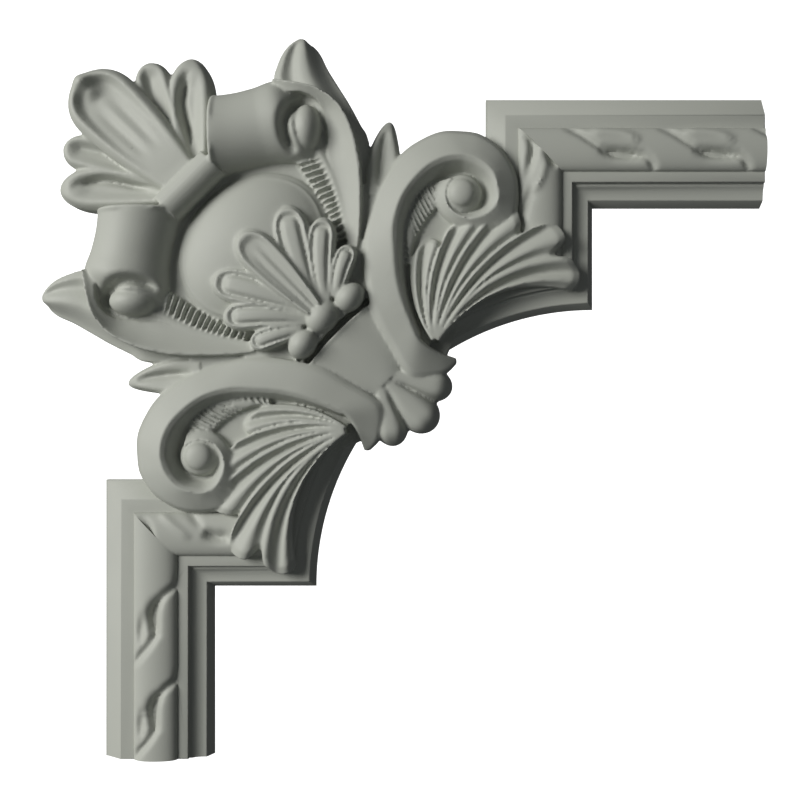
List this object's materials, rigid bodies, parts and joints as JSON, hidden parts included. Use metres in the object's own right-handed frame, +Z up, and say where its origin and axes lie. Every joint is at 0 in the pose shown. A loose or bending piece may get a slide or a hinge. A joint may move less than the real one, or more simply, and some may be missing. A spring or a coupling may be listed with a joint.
{
  "type": "panel moulding corner",
  "caption": "Wall panel moulding corner: two square-cut runs meet through a stepped, hollowed corner under a carved shell, twin scrolls, leaves, palmette and dome.",
  "frame": {"origin": "on the flat back face, where the outer edges of the two runs would cross, under the shell", "axes": "+X to the right along the upper run, +Z up, +Y into the wall; the carved face looks to -Y"},
  "size_m": [0.4008, 0.035, 0.3991],
  "materials": {
    "primed_foam": "factory primed rigid foam, matte grey green"
  },
  "bodies": {
    "root": {"corner_moulding": "primed_foam"}
  },
  "joints": []
}
